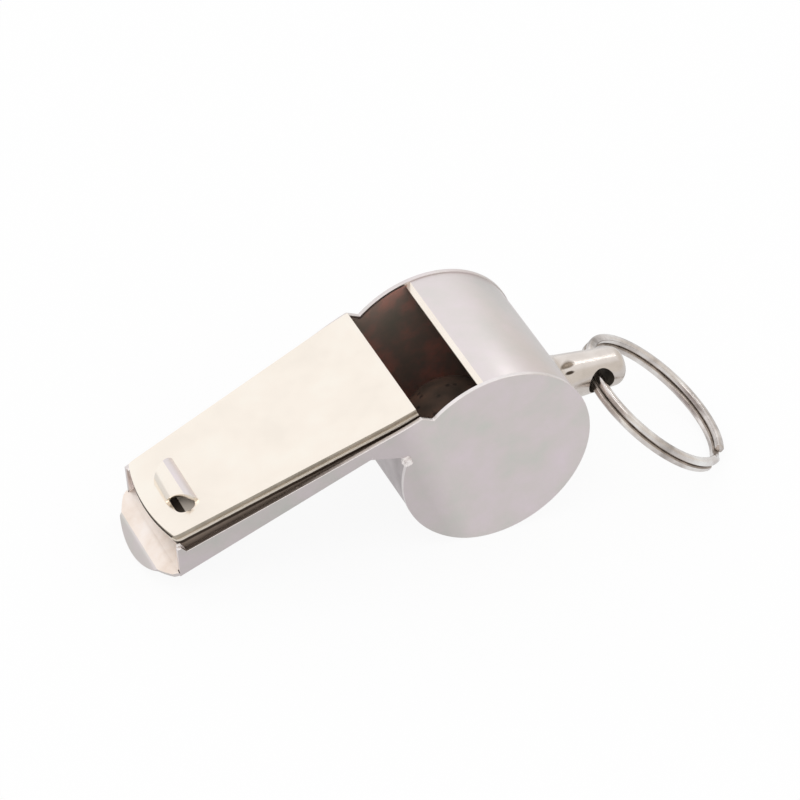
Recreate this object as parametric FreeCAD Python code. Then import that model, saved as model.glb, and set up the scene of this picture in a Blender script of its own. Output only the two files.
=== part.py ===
import FreeCAD, Part
import math
import os
from FreeCAD import Vector

# A pressed-brass pea whistle with a split ring. Lengths are in millimetres, angles in degrees.
# It is drawn with the drum's axis along Y through the origin, the mouthpiece towards -X and the
# top plate level. At the end the whole whistle is tipped until it stands on its drum and its lower lip.

# Sheet gauges
side_sheet = 0.5
barrel_sheet = 0.6
floor_sheet = 0.5
roof_sheet = 0.4
top_sheet = 0.65

# Drum
drum_radius = 11.0
drum_width = 19.1
rim_stand = 0.1
rear_lip_angle = 82.0
rear_lip_bevel = 0.7
rear_lip_land = 0.2
neck_angle = 140.0
underside_angle = -45.0

# Mouthpiece, measured forward from the drum's axis and up from it
top_height = 12.05
window_reach = 5.5
window_notch_reach = 4.4
bend_reach = 6.0
bend_radius = 30.0
kink_reach = 12.2
plate_reach_top = 34.4
plate_front_slant = 1.1
mouth_width = 14.0
windway_exit = 0.9
floor_slope = 5.7
rim_drop_window = 0.8
rim_drop_mouth = 1.9
corner_drop = 1.1
corner_length = 0.5
corner_slope_run = 0.3

# Lower lip, a bowed tongue whose front part is turned down
lip_length = 2.95
lip_crease = 1.3
lip_turn = 34.0
lip_bow_radius = 11.5

# Top plate, its roof channel and the seam beside them
side_gap = 0.35
plate_step = 0.12
front_bow_overhang = 0.45
front_bow_radius = 21.0
plate_corner_radius = 0.9
flange_depth = 0.6
seam_sink = 0.45
seam_height = 0.35

# Bite bridge, lanced and raised out of the top plate
bridge_front_gap = 2.5
bridge_length = 2.2
bridge_sheet = 0.45
bridge_rise = 1.25
bridge_rear_half_width = 3.5
bridge_front_half_width = 1.6
bridge_slot_margin = 0.3
bridge_slot_corner = 0.6

# Ring post, turned from rod, with its cross hole
post_angle = -24.2
post_root_radius = 2.65
post_tip_radius = 2.2
post_foot_radius = 3.1
post_foot_height = 1.1
post_flare_share = 0.3
post_length = 8.7
post_end_radius = 1.3
post_hole_radius = 1.5
post_hole_edge = 3.5

# Split ring, two turns of flat wire
ring_outer_radius = 9.75
wire_width = 0.95
wire_height = 0.8
wire_chamfer = 0.2
coil_gap = 0.06
crossing_angle = 26.0
crossing_start = -47.0
crossing_steps = 6
ring_slack = -0.1
ring_turn = 10.5
ring_rock = 6.9
table_gap = 0.02
dip_steps = 20

# Cork pea
pea_radius = 6.2
pea_gap = 0.02

# Solder
bead_leg = 0.6
blob_radius = 0.85

plate_reach_bottom = plate_reach_top + plate_front_slant
lip_reach = plate_reach_bottom + lip_length
front_bow_reach = plate_reach_top + front_bow_overhang
reach = 2 * lip_reach
strip_outer = drum_radius - rim_stand
strip_inner = strip_outer - barrel_sheet
half_width = drum_width / 2
roof_top = top_height - top_sheet
roof_under = roof_top - roof_sheet
floor_top = roof_under - windway_exit
floor_under = floor_top - floor_sheet
mouth_taper = math.atan2(half_width - mouth_width / 2, plate_reach_bottom - bend_reach)
slope = math.radians(floor_slope)
wire_path_radius = ring_outer_radius - wire_width / 2
hole_reach = drum_radius + post_length - post_hole_edge
bridge_middle = -front_bow_reach + bridge_front_gap + bridge_length / 2


def point(x, z, y=0.0):
    return Vector(x, y, z)


def polar(radius, angle):
    return point(radius * math.cos(math.radians(angle)), radius * math.sin(math.radians(angle)))


def prism(wire_edges, direction, start):
    """A closed flat outline moved by start and extruded along direction."""
    face = Part.Face(Part.Wire(Part.sortEdges(wire_edges)[0]))
    face.translate(start)
    return face.extrude(direction)


def lines(points, closed=False):
    pairs = list(zip(points, points[1:]))
    if closed:
        pairs.append((points[-1], points[0]))
    return [Part.LineSegment(a, b).toShape() for a, b in pairs]


def arc(a, middle, b):
    return Part.Arc(a, middle, b).toShape()


def across(edges):
    """An outline in the XZ plane extruded through the full width."""
    return prism(edges, Vector(0, 2 * reach, 0), Vector(0, -reach, 0))


def upward(edges):
    """An outline in the XY plane extruded through the full height."""
    return prism(edges, Vector(0, 0, 2 * reach), Vector(0, 0, -reach))


def floor_line(x, lift=0.0):
    """Height of the mouthpiece floor's underside at x, lifted square to the sheet."""
    if x > -kink_reach:
        return floor_under + lift
    return floor_under + lift / math.cos(slope) - (-kink_reach - x) * math.tan(slope)


def rim_line(x, lift=0.0):
    """Height of a side plate's upper rim, straight from the window to the mouth."""
    share = (-x - window_reach) / (plate_reach_top - window_reach)
    return top_height - rim_drop_window - share * (rim_drop_mouth - rim_drop_window) + lift


def side_path(inset, side):
    """Corner points, in plan, of a line that runs along one side at an inset from its outer face."""
    radius = bend_radius - inset
    y_centre = half_width - bend_radius
    rear = Vector(reach, side * (y_centre + radius), 0)
    bend_start = Vector(-bend_reach, side * (y_centre + radius), 0)
    half_turn = mouth_taper / 2
    bend_middle = Vector(-bend_reach - radius * math.sin(half_turn),
                         side * (y_centre + radius * math.cos(half_turn)), 0)
    bend_end = Vector(-bend_reach - radius * math.sin(mouth_taper),
                      side * (y_centre + radius * math.cos(mouth_taper)), 0)
    front = bend_end + Vector(-reach * math.cos(mouth_taper), -side * reach * math.sin(mouth_taper), 0)
    return rear, bend_start, bend_middle, bend_end, front


def side_edges(path):
    rear, bend_start, bend_middle, bend_end, front = path
    return [*lines([rear, bend_start]), arc(bend_start, bend_middle, bend_end), *lines([bend_end, front])]


def side_band(outer_inset, inner_inset, side):
    """Everything between two insets on one side, at full height."""
    outer = side_path(outer_inset, side)
    inner = side_path(inner_inset, side)
    return upward(side_edges(outer) + side_edges(inner)
                  + lines([outer[0], inner[0]]) + lines([outer[-1], inner[-1]]))


def core(inset):
    """Everything between the two sides at an inset, at full height."""
    near = side_path(inset, -1)
    far = side_path(inset, 1)
    return upward(side_edges(near) + side_edges(far)
                  + lines([near[0], far[0]]) + lines([near[-1], far[-1]]))


def drum_rod(radius):
    return Part.makeCylinder(radius, 2 * reach, Vector(0, -reach, 0), Vector(0, 1, 0))


def upright_rod(radius, x):
    return Part.makeCylinder(radius, 2 * reach, Vector(x, 0, -reach), Vector(0, 0, 1))


def plate_outline():
    """A side plate's snail outline: the drum's disc running on as the mouthpiece's wall."""
    notch = point(-window_notch_reach, math.sqrt(drum_radius ** 2 - window_notch_reach ** 2))
    neck = polar(drum_radius, neck_angle)
    kink = point(-kink_reach, floor_under - rim_stand)
    lower_front = point(-plate_reach_bottom, floor_line(-plate_reach_bottom) - rim_stand)
    upper_front = point(-plate_reach_top, top_height - corner_drop)
    corner_rear = point(-plate_reach_top + corner_length, top_height - corner_drop)
    rim_front_x = -plate_reach_top + corner_length + corner_slope_run
    rim_front = point(rim_front_x, rim_line(rim_front_x))
    rim_rear = point(-window_reach, rim_line(-window_reach))
    straight = [neck, kink, lower_front, upper_front, corner_rear, rim_front, rim_rear, notch]
    return lines(straight) + [arc(notch, polar(drum_radius, underside_angle), neck)]


def side_plate(side):
    return across(plate_outline()).common(side_band(0.0, side_sheet, side))


def floor_region():
    """Everything on and above the underside of the mouthpiece floor."""
    tip_x = -lip_reach
    crease_x = -lip_reach + lip_crease
    crease_z = floor_line(crease_x)
    tip_z = crease_z - lip_crease * math.tan(slope + math.radians(lip_turn))
    under = [point(-window_reach, floor_under), point(-kink_reach, floor_under),
             point(crease_x, crease_z), point(tip_x, tip_z)]
    over = [point(tip_x, reach), point(-window_reach, reach)]
    return across(lines(under + over, closed=True))


def mouthpiece_floor():
    """One strip: the bowed lower lip, the rising floor and the level shelf that ends at the window."""
    body = floor_region()
    above = body.copy()
    above.translate(Vector(0, 0, floor_sheet / math.cos(slope)))
    lip_room = Part.makeBox(reach, 2 * reach, 2 * reach,
                            Vector(-plate_reach_bottom - reach, -reach, -reach))
    width = core(side_sheet).fuse(core(0.0).common(lip_room))
    strip = body.cut(above).common(width).removeSplitter()
    bow = upright_rod(lip_bow_radius, -lip_reach + lip_bow_radius)
    rear = Part.makeBox(reach, 2 * reach, 2 * reach,
                        Vector(-lip_reach + lip_bow_radius, -reach, -reach))
    strip = strip.common(bow.fuse(rear))
    bends = [edge for edge in strip.Edges if is_bend(edge, -kink_reach) or
             is_bend(edge, -lip_reach + lip_crease)]
    return strip.makeFillet(floor_sheet, bends)


def is_bend(edge, x):
    box = edge.BoundBox
    return box.XLength < 1e-4 and box.ZLength < 1e-4 and abs(box.XMin - x) < floor_sheet / 2


def barrel_strip():
    """The strip rolled round the drum, from the window's bevelled rear lip to the neck and the floor."""
    lip_back = rear_lip_angle - math.degrees(rear_lip_bevel / strip_outer)
    lip_top = polar(strip_inner + rear_lip_land, rear_lip_angle)
    lip_inside = polar(strip_inner, rear_lip_angle)
    neck = polar(strip_outer, neck_angle)
    kink = point(-kink_reach, floor_under)
    rise = kink - neck
    run = 2 * rise.Length
    rise.normalize()
    inward = Vector(-rise.z, 0, rise.x)
    if inward.dot(Vector(1, 0, 1)) < 0:
        inward = -inward
    start = neck + inward * barrel_sheet
    along = start.dot(rise)
    back = along - math.copysign(math.sqrt(along ** 2 - start.dot(start) + strip_inner ** 2), along)
    inner_neck = start - rise * back
    inner_kink = inner_neck + rise * run
    outer_kink = neck + rise * run
    edges = [arc(polar(strip_outer, lip_back), polar(strip_outer, underside_angle), neck),
             arc(lip_inside, polar(strip_inner, underside_angle), inner_neck)]
    edges += lines([inner_neck, inner_kink, outer_kink, neck])
    edges += lines([polar(strip_outer, lip_back), lip_top, lip_inside])
    return across(edges).common(core(side_sheet)).cut(floor_region())


def plate_blank(inset, forward, low, high):
    """The top plate's outline in plan, bowed at the front, between two heights."""
    blank = core(inset).common(upright_rod(front_bow_radius, -front_bow_reach - forward + front_bow_radius))
    slab = Part.makeBox(reach, 2 * reach, high - low, Vector(-window_reach - reach, -reach, low))
    blank = blank.common(slab)
    front = [edge for edge in blank.Edges
             if edge.BoundBox.XLength < 1e-4 and edge.BoundBox.YLength < 1e-4
             and edge.BoundBox.XMin < -window_reach - 1.0]
    return blank.makeFillet(plate_corner_radius, front)


def windway_roof():
    """The channel under the top plate: a thin web with two flanges turned down inside the side plates."""
    outer_inset = side_sheet + side_gap
    lowest = rim_line(-plate_reach_top, -flange_depth)
    blank = plate_blank(outer_inset, plate_step, lowest - 1.0, roof_top)
    inside = core(outer_inset + roof_sheet).common(
        Part.makeBox(2 * reach, 2 * reach, reach, Vector(-reach, -reach, roof_under - reach)))
    below = [point(reach, rim_line(reach, -flange_depth)), point(-reach, rim_line(-reach, -flange_depth)),
             point(-reach, -reach), point(reach, -reach)]
    return blank.cut(inside).cut(across(lines(below, closed=True)))


def bridge_tunnel(sheet, rise):
    """A tunnel across the whole plate, as wide as the bridge's inside and two sheets."""
    half = bridge_length / 2 + sheet
    crown = point(bridge_middle, top_height + rise)
    feet = [point(bridge_middle - half, top_height - top_sheet),
            point(bridge_middle + half, top_height - top_sheet)]
    return across([arc(feet[0], crown, feet[1]), *lines([feet[1], feet[0]])])


def bridge_plan():
    """The bridge's outline in plan, narrower at its front foot than at its rear one."""
    front = bridge_middle - bridge_length / 2 - bridge_sheet
    rear = bridge_middle + bridge_length / 2 + bridge_sheet
    corners = [Vector(front, -bridge_front_half_width, 0), Vector(rear, -bridge_rear_half_width, 0),
               Vector(rear, bridge_rear_half_width, 0), Vector(front, bridge_front_half_width, 0)]
    return upward(lines(corners, closed=True))


def bridge_slot():
    """The slot that the bridge was lanced out of, with rounded corners."""
    half = bridge_rear_half_width + bridge_slot_margin
    slot = Part.makeBox(bridge_length, 2 * half, 2 * reach,
                        Vector(bridge_middle - bridge_length / 2, -half, -reach))
    upright = [edge for edge in slot.Edges if edge.BoundBox.ZLength > reach]
    return slot.makeFillet(bridge_slot_corner, upright)


def top_plate():
    """The flat plate that the teeth grip, with its bridge lanced up near the front edge."""
    plate = plate_blank(side_sheet + side_gap + plate_step, 0.0, roof_top, top_height)
    vault = bridge_tunnel(bridge_sheet, bridge_rise).cut(bridge_tunnel(0.0, bridge_rise - bridge_sheet))
    return plate.cut(bridge_slot()).fuse(vault.common(bridge_plan())).removeSplitter()


def seam(side):
    """The solder in the gap between a side plate and the roof's flange, with its raised front corner."""
    gap = side_band(side_sheet, side_sheet + side_gap, side)
    front = -plate_reach_top + plate_step
    rise_x = front + corner_length
    top = [point(front, top_height - corner_drop), point(rise_x, top_height - corner_drop),
           point(rise_x + corner_slope_run, rim_line(rise_x, -seam_sink)),
           point(-window_reach, rim_line(-window_reach, -seam_sink))]
    bottom = [point(-window_reach, rim_line(-window_reach, -seam_sink - seam_height)),
              point(front, rim_line(front, -seam_sink - seam_height))]
    return gap.common(across(lines(top + bottom, closed=True)))


def trimmed(solder):
    """Solder as it lies between the side plates, clear of the floor and the barrel strip."""
    return solder.common(core(side_sheet)).cut(floor_region()).cut(barrel_strip())


def kink_bead():
    """The bead across the outside corner where the barrel strip is soldered under the floor."""
    neck = polar(strip_outer, neck_angle)
    kink = point(-kink_reach, floor_under)
    down = (neck - kink).normalize() * bead_leg
    forward = Vector(-math.cos(slope), 0, -math.sin(slope)) * bead_leg
    corner = kink + Vector(0, 0, -rim_stand / 2)
    bead = across(lines([kink, kink + forward, corner + down], closed=True))
    return trimmed(bead)


def neck_blob(side):
    """A drop of solder left in the corner between the neck and the drum, against one side plate."""
    centre = polar(drum_radius, neck_angle) + Vector(0, side * (half_width - side_sheet - blob_radius / 2), 0)
    blob = Part.makeSphere(blob_radius, centre)
    return trimmed(blob.cut(drum_rod(strip_outer)))


def post_frame():
    """Turns a shape drawn along +X into the ring post's direction."""
    return FreeCAD.Rotation(Vector(0, -1, 0), post_angle)


def ring_post():
    """A turned post with a flared foot and a rounded end, cross-drilled for the ring."""
    tip = drum_radius + post_length
    foot_x = drum_radius + post_foot_height
    root_x = drum_radius - post_foot_radius / 2
    corner = math.sqrt(0.5) * post_end_radius
    end_centre = Vector(tip - post_end_radius, post_tip_radius - post_end_radius, 0)
    flare = Vector(drum_radius + post_flare_share * post_foot_height,
                   post_root_radius + post_flare_share * (post_foot_radius - post_root_radius), 0)
    outline = lines([Vector(root_x, 0, 0), Vector(root_x, post_foot_radius, 0),
                     Vector(drum_radius, post_foot_radius, 0)])
    outline.append(arc(Vector(drum_radius, post_foot_radius, 0), flare, Vector(foot_x, post_root_radius, 0)))
    outline += lines([Vector(foot_x, post_root_radius, 0), Vector(end_centre.x, post_tip_radius, 0)])
    outline.append(arc(Vector(end_centre.x, post_tip_radius, 0), end_centre + Vector(corner, corner, 0),
                       Vector(tip, end_centre.y, 0)))
    outline += lines([Vector(tip, end_centre.y, 0), Vector(tip, 0, 0), Vector(root_x, 0, 0)])
    face = Part.Face(Part.Wire(Part.sortEdges(outline)[0]))
    post = face.revolve(Vector(0, 0, 0), Vector(1, 0, 0), 360)
    post = post.cut(Part.makeCylinder(post_hole_radius, 2 * reach, Vector(hole_reach, -reach, 0),
                                      Vector(0, 1, 0)))
    post.Placement = FreeCAD.Placement(Vector(0, 0, 0), post_frame())
    return post.cut(drum_rod(strip_outer))


def wire_section(angle, level):
    """The flat wire's chamfered section at an angle round the ring and a height along its axis."""
    w = wire_width / 2
    h = wire_height / 2
    c = wire_chamfer
    corners = [(-w + c, -h), (w - c, -h), (w, -h + c), (w, h - c),
               (w - c, h), (-w + c, h), (-w, h - c), (-w, -h + c)]
    turn = math.radians(angle)
    points = [Vector((wire_path_radius + a) * math.cos(turn), (wire_path_radius + a) * math.sin(turn),
                     level + b) for a, b in corners]
    return Part.Wire(lines(points, closed=True))


def split_ring():
    """Two stacked turns of one wire that crosses from the upper level to the lower one."""
    level = (wire_height + coil_gap) / 2
    start = crossing_start
    end = crossing_start + crossing_angle
    axis = Vector(0, 0, 1)
    lower = Part.Face(wire_section(end, -level)).revolve(Vector(0, 0, 0), axis, 360 - crossing_angle)
    upper = Part.Face(wire_section(end, level)).revolve(Vector(0, 0, 0), axis, 360 - crossing_angle)
    sections = []
    for step in range(crossing_steps + 1):
        share = step / crossing_steps
        rise = level * math.cos(math.pi * share)
        sections.append(wire_section(start + share * crossing_angle, rise))
    crossing = Part.makeLoft(sections, True, True)
    return lower.fuse(crossing).fuse(upper)


def cork_pea():
    return Part.makeSphere(pea_radius)


def lip_low_point():
    """The lowest corner of the lip's tip, which the whistle stands on."""
    tip_z = floor_line(-lip_reach + lip_crease) - lip_crease * math.tan(slope + math.radians(lip_turn))
    return point(-lip_reach, tip_z)


def rest_pitch():
    """The angle that brings the lip's tip as low as the drum."""
    tip = lip_low_point()
    return math.acos(-drum_radius / tip.Length) - math.atan2(-tip.x, tip.z)


def hung_ring(hole):
    """The ring hung in the post's hole, turned and rocked a little, and lowered until it meets the table."""
    ring = split_ring()
    arm = FreeCAD.Placement(Vector(wire_path_radius + ring_slack, 0, 0), FreeCAD.Rotation())
    rock = FreeCAD.Rotation(Vector(1, 0, 0), ring_rock)
    turn = FreeCAD.Rotation(Vector(0, 0, 1), -ring_turn)
    held = turn.multiply(rock)
    high, low = 0.0, 90.0
    for _ in range(dip_steps):
        dip = (high + low) / 2
        lean = FreeCAD.Rotation(Vector(0, 1, 0), dip)
        ring.Placement = FreeCAD.Placement(hole, lean.multiply(held)).multiply(arm)
        if ring.optimalBoundingBox(False, False).ZMin > table_gap:
            high = dip
        else:
            low = dip
    return ring


def build():
    """All pieces, standing as the whistle rests, with Z up from the table."""
    pieces = {
        "side_plate_near": side_plate(-1),
        "side_plate_far": side_plate(1),
        "barrel_strip": barrel_strip(),
        "mouthpiece_floor": mouthpiece_floor(),
        "windway_roof": windway_roof(),
        "top_plate": top_plate(),
        "ring_post": ring_post(),
        "solder": Part.makeCompound([seam(-1), seam(1), kink_bead(), neck_blob(-1)]),
    }
    pitch = rest_pitch()
    tip = FreeCAD.Placement(Vector(0, 0, drum_radius),
                            FreeCAD.Rotation(Vector(0, -1, 0), math.degrees(pitch)))
    for shape in pieces.values():
        shape.Placement = tip.multiply(shape.Placement)
    hole = tip.multVec(post_frame().multVec(Vector(hole_reach, 0, 0)))
    pieces["split_ring"] = hung_ring(hole)
    pea = cork_pea()
    pea.translate(Vector(0, 0, drum_radius - strip_inner + pea_radius + pea_gap))
    pieces["cork_pea"] = pea
    return pieces, hole


def main():
    pieces, hole = build()
    box = Part.makeCompound(list(pieces.values())).optimalBoundingBox(False, False)
    middle = Vector(-(box.XMin + box.XMax) / 2, -(box.YMin + box.YMax) / 2, 0)
    os.makedirs("parts", exist_ok=True)
    for name, shape in pieces.items():
        shape.translate(middle)
        shape.exportStep("parts/" + name + ".step")
    hole = hole + middle
    print("overall", round(box.XLength, 3), round(box.YLength, 3), round(box.ZLength, 3))
    print("lowest", round(box.ZMin, 4), "pitch", round(math.degrees(rest_pitch()), 3))
    print("hole", [round(value, 4) for value in hole])
    print("drum axis", round(middle.x, 4), round(drum_radius, 4))


main()
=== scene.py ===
import math

import bmesh
import bpy
from mathutils import Euler, Matrix, Vector


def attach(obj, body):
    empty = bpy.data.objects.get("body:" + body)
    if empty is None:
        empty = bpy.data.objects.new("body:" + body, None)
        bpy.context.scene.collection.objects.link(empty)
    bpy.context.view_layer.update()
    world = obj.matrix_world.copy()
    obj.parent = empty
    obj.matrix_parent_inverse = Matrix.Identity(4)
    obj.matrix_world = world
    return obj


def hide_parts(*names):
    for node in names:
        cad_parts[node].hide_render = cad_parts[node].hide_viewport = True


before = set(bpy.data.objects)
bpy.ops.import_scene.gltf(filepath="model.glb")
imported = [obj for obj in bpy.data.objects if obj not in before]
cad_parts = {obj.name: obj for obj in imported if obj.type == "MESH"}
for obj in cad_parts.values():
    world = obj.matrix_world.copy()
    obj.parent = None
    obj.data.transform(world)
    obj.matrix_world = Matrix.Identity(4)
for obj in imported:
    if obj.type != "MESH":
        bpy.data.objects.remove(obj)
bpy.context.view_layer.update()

# A pressed and soldered pea whistle. Its pieces are shaped in millimetres, with the drum's axis along Y
# through the origin and the top plate level, and are then tipped and set down where the whistle rests.
MM = 0.001
PER_METRE = 1000.0
PITCH = math.radians(25.331)
DRUM_AXIS = Vector((2.7587, 0.9391, 11.0))
RESTING = Matrix.Scale(MM, 4) @ Matrix.Translation(DRUM_AXIS) @ Matrix.Rotation(-PITCH, 4, "Y")

# The ring hangs in the post's hole and lies on the table: its middle, lean and the turn of its wire's end
HUNG_RING = (Matrix.Scale(MM, 4) @ Matrix.Translation((26.3264, -0.7329, 6.1182))
             @ Euler([math.radians(lean) for lean in (-0.4282, 34.5361, -12.7808)]).to_matrix().to_4x4()
             @ Matrix.Rotation(math.radians(-21.0), 4, "Z"))
WIRE_RADIUS = 9.275
WIRE_WIDTH = 0.95
WIRE_HEIGHT = 0.8
TURN_LEVEL = 0.43

# Sizes of the body
DRUM_RADIUS = 11.0
STRIP_OUTER = 10.9
HALF_WIDTH = 9.55
SIDE_SHEET = 0.5
BARREL_SHEET = 0.6
FLOOR_SHEET = 0.5
TOP_SHEET = 0.65
TOP_HEIGHT = 12.05
TOP_MARGIN = 0.97
FLOOR_UNDER = 9.6
WINDOW_X = -5.5
BEND_X = -6.0
BEND_RADIUS = 30.0
TAPER = math.atan2(2.55, 29.5)
BEND_END_X = BEND_X - BEND_RADIUS * math.sin(TAPER)
KINK_X = -12.2
FLOOR_SLOPE = math.radians(5.7)
CREASE_X = -37.15
LIP_TURN = math.radians(34.0)
LIP_X = -38.2
NECK_ANGLE = 140.0
REAR_LIP_ANGLE = 82.0

# The post: how many degrees it leans down from the plate's level, and its cross hole
POST_TILT = 24.2
POST_HOLE_X = 16.2
POST_HOLE_RADIUS = 1.6


# Helpers for shaping a piece by hand

def fresh():
    """Leaves edit mode and deselects everything before a new primitive is added."""
    if bpy.context.object and bpy.context.object.mode != "OBJECT":
        bpy.ops.object.mode_set(mode="OBJECT")
    bpy.ops.object.select_all(action="DESELECT")


def alone(piece):
    """Makes one piece the only selected and active one, in object mode."""
    fresh()
    piece.select_set(True)
    bpy.context.view_layer.objects.active = piece


def named(name):
    """The primitive just added, under its name and in edit mode."""
    piece = bpy.context.object
    piece.name = name
    piece.data.name = name
    bpy.ops.object.transform_apply(location=True, rotation=True, scale=True)
    bpy.ops.object.mode_set(mode="EDIT")
    return piece


def pick(piece, kind, test):
    """In edit mode, selects the vertices, edges or faces that pass the test.

    The test gets the middle of each and its normal, or an edge's direction."""
    bpy.ops.mesh.select_mode(type=kind)
    bpy.ops.mesh.select_all(action="DESELECT")
    mesh = bmesh.from_edit_mesh(piece.data)
    if kind == "VERT":
        found = [vert for vert in mesh.verts if test(vert.co, vert.normal)]
    elif kind == "EDGE":
        found = [edge for edge in mesh.edges
                 if test((edge.verts[0].co + edge.verts[1].co) / 2, edge.verts[1].co - edge.verts[0].co)]
    else:
        found = [face for face in mesh.faces if test(face.calc_center_median(), face.normal)]
    for part in found:
        part.select_set(True)
    bmesh.update_edit_mesh(piece.data)


def pick_all():
    bpy.ops.mesh.select_all(action="SELECT")


def slide(x=0.0, y=0.0, z=0.0):
    bpy.ops.transform.translate(value=(x, y, z))


def pull(x=0.0, y=0.0, z=0.0):
    """Extrudes what is selected by an offset."""
    bpy.ops.mesh.extrude_region_move(TRANSFORM_OT_translate={"value": (x, y, z)})


def slice_at(place, normal, clear=False):
    """Cuts the whole mesh along a plane; clear removes what lies on the normal's side."""
    pick_all()
    bpy.ops.mesh.bisect(plane_co=place, plane_no=normal, clear_outer=clear, threshold=0.0005)


def turn_normals(piece, upward, test=lambda co: True):
    """Makes a sheet's normals agree, up or down where the test picks its faces."""
    pick_all()
    bpy.ops.mesh.normals_make_consistent(inside=False)
    mesh = bmesh.from_edit_mesh(piece.data)
    lean = sum(face.normal.z for face in mesh.faces if test(face.calc_center_median()))
    if (lean > 0) != upward:
        bpy.ops.mesh.flip_normals()


def apply_modifier(piece, kind, **settings):
    alone(piece)
    modifier = piece.modifiers.new(kind.title(), kind)
    for name, value in settings.items():
        setattr(modifier, name, value)
    bpy.ops.object.modifier_apply(modifier=modifier.name)


def outward(piece):
    alone(piece)
    bpy.ops.object.mode_set(mode="EDIT")
    pick_all()
    bpy.ops.mesh.normals_make_consistent(inside=False)
    bpy.ops.object.mode_set(mode="OBJECT")


def soften(piece, width, segments=3, angle=35.0):
    """Rounds every sharp edge as pressing and polishing leave it, and shades the piece smooth."""
    apply_modifier(piece, "BEVEL", width=width, segments=segments, limit_method="ANGLE",
                   angle_limit=math.radians(angle), miter_outer="MITER_ARC", use_clamp_overlap=True)
    alone(piece)
    bpy.ops.object.shade_smooth_by_angle(angle=math.radians(angle))


def set_down(piece, placement=RESTING):
    """Tips the finished piece to its place at rest and puts that place in its mesh."""
    alone(piece)
    piece.matrix_world = placement @ piece.matrix_world
    bpy.ops.object.transform_apply(location=True, rotation=True, scale=True)


def dress(piece, main, others=()):
    """Gives the piece its main material, and others to the faces whose middle and normal pass a test."""
    piece.data.materials.clear()
    piece.data.materials.append(main)
    for other, test in others:
        piece.data.materials.append(other)
        alone(piece)
        bpy.ops.object.mode_set(mode="EDIT")
        pick(piece, "FACE", test)
        piece.active_material_index = len(piece.data.materials) - 1
        bpy.ops.object.material_slot_assign()
        bpy.ops.object.mode_set(mode="OBJECT")


def at(value, place):
    """Whether a coordinate is at a place, within the rounding of a mesh."""
    return abs(value - place) < 0.004


def chosen_place(piece):
    """Where the one selected vertex is."""
    mesh = bmesh.from_edit_mesh(piece.data)
    return next(vert.co.copy() for vert in mesh.verts if vert.select)


def polar(radius, angle):
    turn = math.radians(angle)
    return Vector((radius * math.cos(turn), 0.0, radius * math.sin(turn)))


def bearing(co):
    """Angle of a point round the drum's axis, 0 to 360."""
    return math.degrees(math.atan2(co.z, co.x)) % 360.0


def inset_at(x):
    """How far a side has come inward at x."""
    if x >= BEND_X:
        return 0.0
    if x >= BEND_END_X:
        return BEND_RADIUS * (1 - math.cos(math.asin((BEND_X - x) / BEND_RADIUS)))
    return BEND_RADIUS * (1 - math.cos(TAPER)) + (BEND_END_X - x) * math.tan(TAPER)


def floor_under(x):
    """Height of the floor strip's underside at x."""
    return FLOOR_UNDER - max(0.0, KINK_X - x) * math.tan(FLOOR_SLOPE)


def column_places(piece):
    """Each x at which the mesh has vertices, to a thousandth of a millimetre."""
    mesh = bmesh.from_edit_mesh(piece.data)
    return sorted({round(vert.co.x, 3) for vert in mesh.verts})


def in_column(co, place):
    return abs(co.x - place) < 0.0006


def columns(piece, rule):
    """Moves each column of vertices that share an x by what the rule gives for it."""
    for place in column_places(piece):
        offset = rule(place)
        if max(abs(value) for value in offset) < 1e-6:
            continue
        pick(piece, "VERT", lambda co, n: in_column(co, place))
        slide(*offset)


def carry_back(piece, start, stops):
    """Extrudes the straight rear edge of a flat sheet through stops, each an x and a half width."""
    pick(piece, "EDGE", lambda co, d: at(co.x, start) and abs(d.y) > 1)
    here = start
    for x, half in stops:
        pull(x=x - here)
        for end in (1, -1):
            pick(piece, "VERT", lambda co, n: at(co.x, x) and co.y * end > 0)
            slide(y=end * half - chosen_place(piece).y)
        pick(piece, "EDGE", lambda co, d: at(co.x, x) and abs(d.y) > 1)
        here = x


# Materials

def srgb(code):
    """Hex sRGB colour to linear RGBA."""
    parts = [int(code[i:i + 2], 16) / 255 for i in (1, 3, 5)]
    return [p / 12.92 if p <= 0.04045 else ((p + 0.055) / 1.055) ** 2.4 for p in parts] + [1.0]


def add(tree, kind, values=None, links=None, **settings):
    """Adds one node with its settings, input values and incoming links."""
    node = tree.nodes.new(kind)
    for name, value in settings.items():
        setattr(node, name, value)
    for socket, value in (values or {}).items():
        node.inputs[socket].default_value = value
    for socket, source in (links or {}).items():
        tree.links.new(source, node.inputs[socket])
    return node


def material(name):
    made = bpy.data.materials.new(name)
    made.use_nodes = True
    made.node_tree.nodes.clear()
    return made, made.node_tree


def ramp(node, stops):
    """Sets a colour ramp's stops, each a place and a hex colour."""
    stops = [(place, srgb(code)) for place, code in stops]
    node.color_ramp.elements[0].position, node.color_ramp.elements[0].color = stops[0]
    node.color_ramp.elements[1].position, node.color_ramp.elements[1].color = stops[-1]
    for place, colour in stops[1:-1]:
        node.color_ramp.elements.new(place).color = colour


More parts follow.
